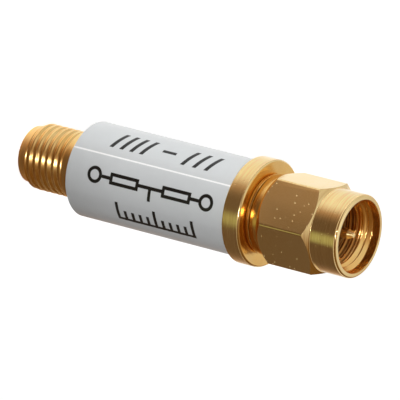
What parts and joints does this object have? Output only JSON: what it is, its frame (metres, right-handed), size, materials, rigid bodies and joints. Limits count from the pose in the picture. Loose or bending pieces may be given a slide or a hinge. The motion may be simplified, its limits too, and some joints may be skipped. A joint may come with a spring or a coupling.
{
  "type": "coaxial rf attenuator",
  "caption": "In-line coaxial attenuator: threaded jack, labelled round barrel with a flange, and a pin plug with a free-spinning hexagon coupling nut.",
  "frame": {"origin": "centre of the jack's end face, on the axis; the part stands on that face", "axes": "+Z along the axis, from the jack towards the plug and its nut; -Y is the side with the label's print"},
  "size_m": [0.01, 0.01, 0.0363],
  "materials": {
    "gold_plate": "gold plated, polished",
    "spring_bronze": "bare, satin",
    "label_film": "printed polyester film, semi-gloss",
    "ptfe": "turned PTFE, waxy matte",
    "alumina": "fired alumina, matte, printed film"
  },
  "bodies": {
    "body": {"barrel": "gold_plate", "female_shell": "gold_plate", "male_shell": "gold_plate", "label": "label_film", "female_contact": "gold_plate", "female_insulator": "ptfe", "male_contact": "gold_plate", "male_insulator": "ptfe", "attenuator_chip": "alumina", "chip_carrier_front": "spring_bronze", "chip_carrier_rear": "spring_bronze"},
    "ring": {"retaining_ring": "spring_bronze"},
    "nut": {"coupling_nut": "gold_plate"}
  },
  "joints": [
    {"name": "nut_float", "type": "slide", "parent": "body", "child": "ring", "axis": [0, 0, 1], "range_m": [0, 0.0003]},
    {"name": "nut_spin", "type": "hinge", "parent": "ring", "child": "nut", "pos_m": [0, 0, 0.03], "axis": [0, 0, 1], "continuous": true}
  ]
}
